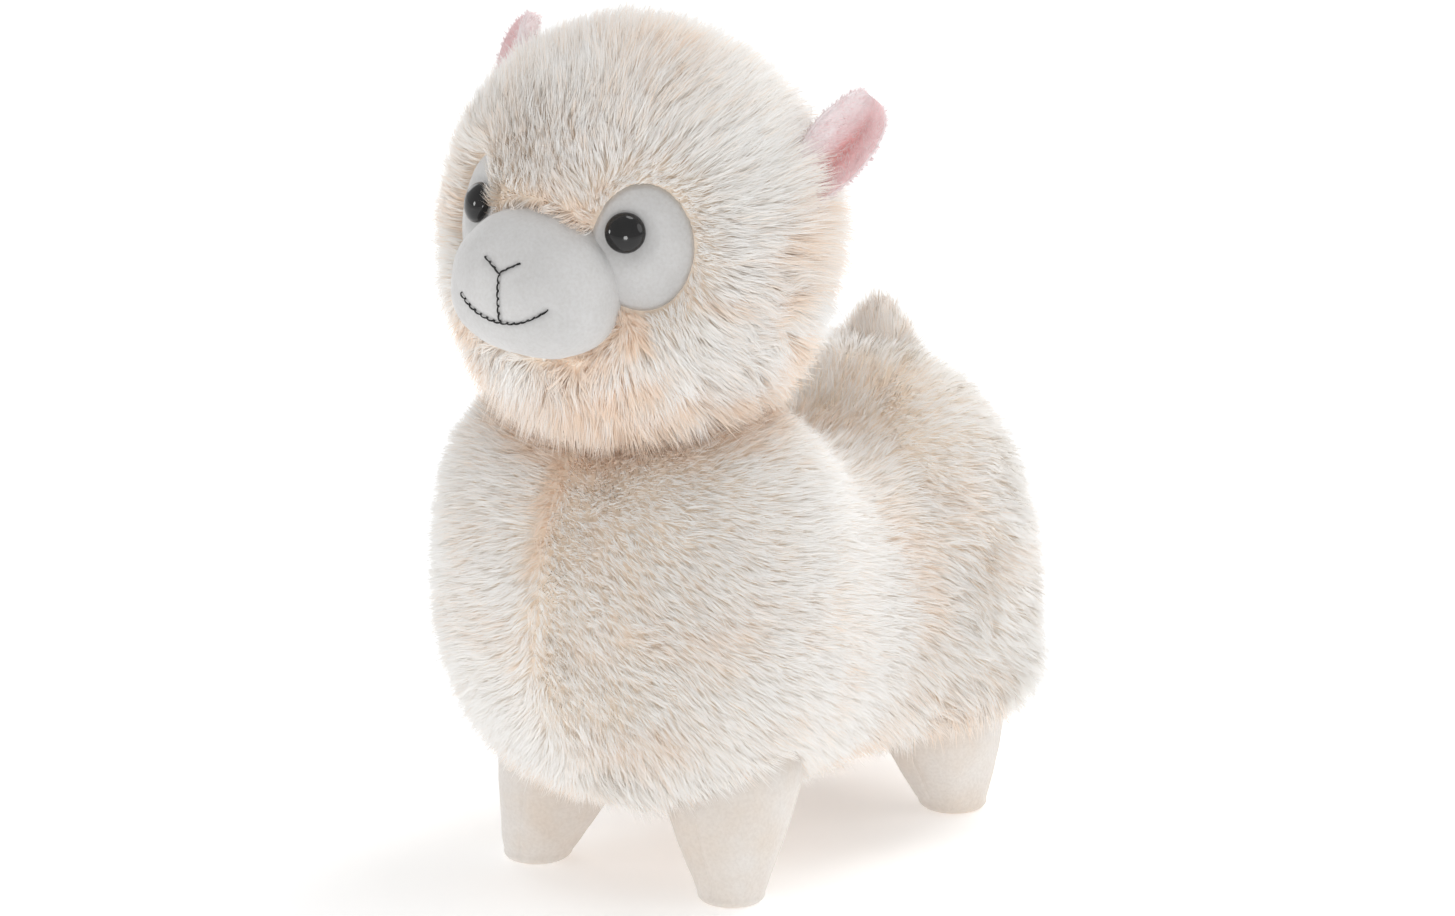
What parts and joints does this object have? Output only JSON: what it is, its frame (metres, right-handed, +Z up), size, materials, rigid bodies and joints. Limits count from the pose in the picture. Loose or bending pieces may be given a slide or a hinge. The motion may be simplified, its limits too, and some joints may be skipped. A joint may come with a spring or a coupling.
{
  "type": "plush llama",
  "caption": "Standing stuffed toy llama with long cream pile, white velour muzzle and eye patches, glossy black eyes, pink-lined ears and short velour legs.",
  "frame": {"origin": "on the surface that the toy stands on, under the middle of its bounding box", "axes": "+Z up, the toy faces -Y, its left side is +X"},
  "size_m": [0.1402, 0.2361, 0.267],
  "materials": {
    "long_pile": "matte",
    "face_velour": "matte",
    "leg_velour": "matte",
    "ear_plush": "matte",
    "ear_lining": "matte",
    "eye_plastic": "gloss",
    "washer_plastic": "satin",
    "thread": "matte"
  },
  "bodies": {
    "root": {"torso": "long_pile", "head": "long_pile", "tail": "long_pile", "muzzle": "face_velour", "eye_patch_left": "face_velour", "eye_patch_right": "face_velour", "eye_left": "eye_plastic", "eye_right": "eye_plastic", "eye_washer_left": "washer_plastic", "eye_washer_right": "washer_plastic", "ear_back_left": "ear_plush", "ear_back_right": "ear_plush", "ear_lining_left": "ear_lining", "ear_lining_right": "ear_lining", "leg_front_left": "leg_velour", "leg_front_right": "leg_velour", "leg_hind_left": "leg_velour", "leg_hind_right": "leg_velour", "nose_stitching": "thread", "lip_stitching": "thread", "mouth_stitching": "thread"}
  },
  "joints": []
}
